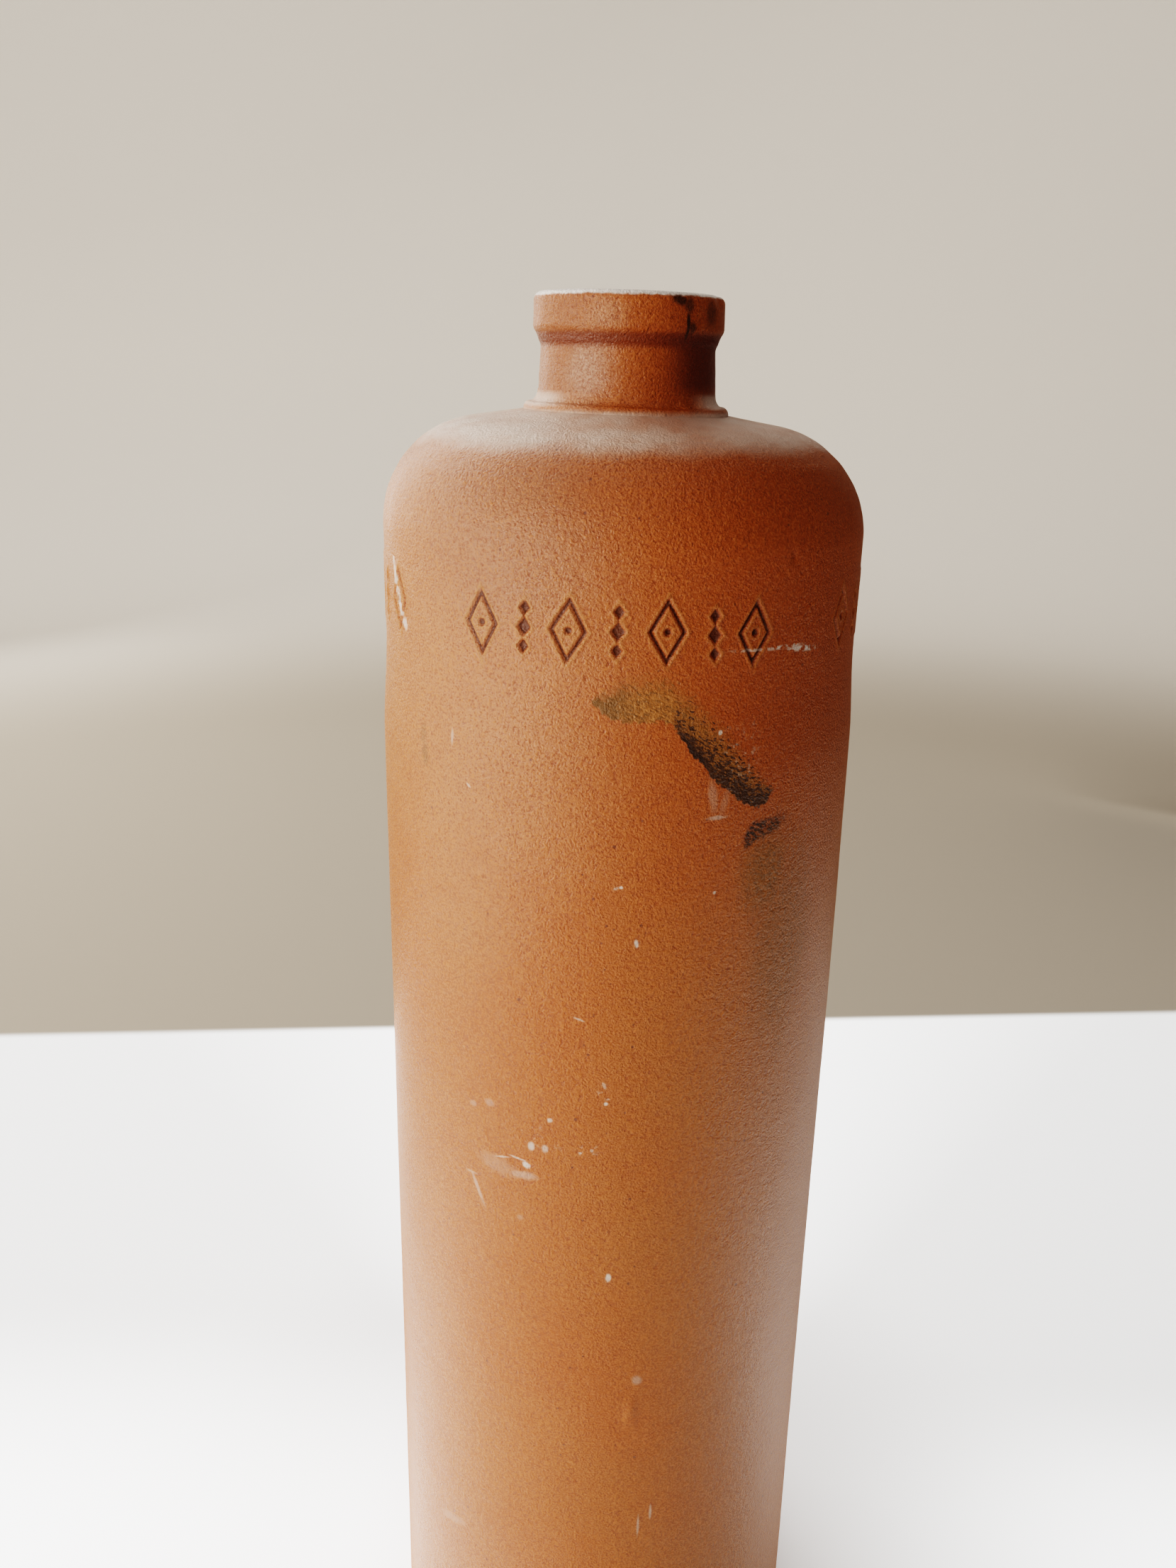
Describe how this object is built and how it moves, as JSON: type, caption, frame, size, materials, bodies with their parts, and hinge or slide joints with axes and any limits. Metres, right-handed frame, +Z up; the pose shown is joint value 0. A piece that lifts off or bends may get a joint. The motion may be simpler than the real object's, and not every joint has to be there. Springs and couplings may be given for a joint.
{
  "type": "stoneware bottle vase",
  "caption": "Tall cylindrical salt-glazed stoneware bottle with a full round shoulder, a short bored neck and a flat-sided lip ring, used as a vase.",
  "frame": {"origin": "centre of the foot, on the surface that the bottle stands on", "axes": "+Z up along the bottle's axis, towards the mouth; +Y away from the front, +X to the right"},
  "size_m": [0.0834, 0.0834, 0.27],
  "materials": {
    "salt_glaze": "satin orange-peel salt glaze, orange-brown flashed with olive and iron black",
    "bare_stoneware": "unglazed, fine sandy fired clay"
  },
  "bodies": {
    "root": {"base_disc": "bare_stoneware", "base_seam_coil": "bare_stoneware", "body_tube": "salt_glaze", "shoulder": "salt_glaze", "neck": "salt_glaze", "neck_bead": "salt_glaze", "lip_ring": "salt_glaze"}
  },
  "joints": []
}
